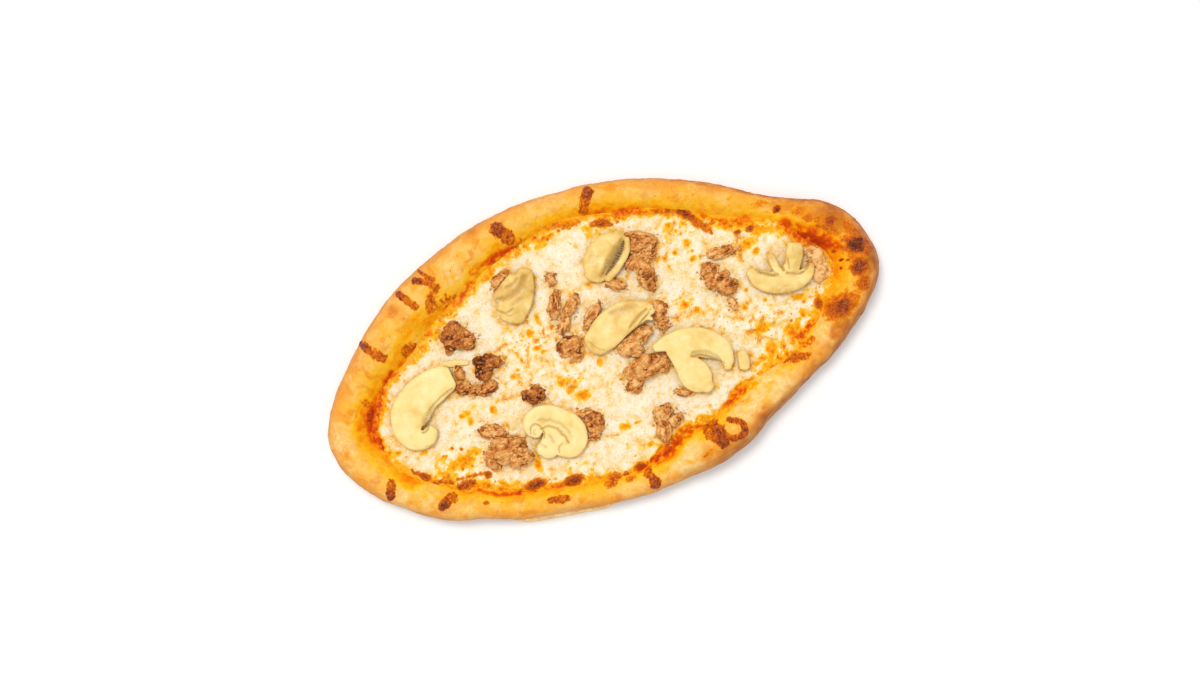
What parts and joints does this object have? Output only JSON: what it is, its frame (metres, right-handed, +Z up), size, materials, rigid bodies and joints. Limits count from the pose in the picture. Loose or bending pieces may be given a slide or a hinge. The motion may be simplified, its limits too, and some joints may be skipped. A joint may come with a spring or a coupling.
{
  "type": "peinirli",
  "caption": "Boat-shaped open bread with a puffed browned rim, filled with tomato sauce and melted cheese, topped with mushroom slices and tuna flakes.",
  "frame": {"origin": "on the flat underside, below the middle of the bounding box", "axes": "+Z up out of the filling, +X along the boat's length towards its blunter right end"},
  "size_m": [0.3098, 0.1699, 0.0255],
  "materials": {
    "crust": "baked golden dough, oily towards the filling, browned at the crest",
    "sauce": "wet baked tomato sauce",
    "cheese": "melted cheese, cream white with orange oil spots",
    "mushroom": "smooth moist slices, creamy yellow",
    "tuna": "dry browned flakes"
  },
  "bodies": {
    "root": {"crust": "crust", "tomato_sauce": "sauce", "cheese": "cheese", "mushroom_hooked": "mushroom", "mushroom_spiral": "mushroom", "mushroom_folded": "mushroom", "mushroom_gilled": "mushroom", "mushroom_long": "mushroom", "mushroom_arched": "mushroom", "mushroom_stub": "mushroom", "mushroom_crescent": "mushroom", "tuna_ball": "tuna", "tuna_wedge": "tuna", "tuna_trail": "tuna", "tuna_sliver": "tuna", "tuna_dark": "tuna", "tuna_heap": "tuna", "tuna_edge": "tuna", "tuna_crumbled": "tuna", "tuna_splinter": "tuna", "tuna_split": "tuna", "tuna_sprig": "tuna", "tuna_under": "tuna", "tuna_tail": "tuna", "tuna_large": "tuna", "tuna_nub": "tuna", "tuna_block": "tuna", "tuna_lower": "tuna", "tuna_arc": "tuna", "tuna_crumb": "tuna", "tuna_speck": "tuna", "tuna_pale": "tuna", "tuna_top": "tuna", "tuna_bit": "tuna", "tuna_fold": "tuna"}
  },
  "joints": []
}
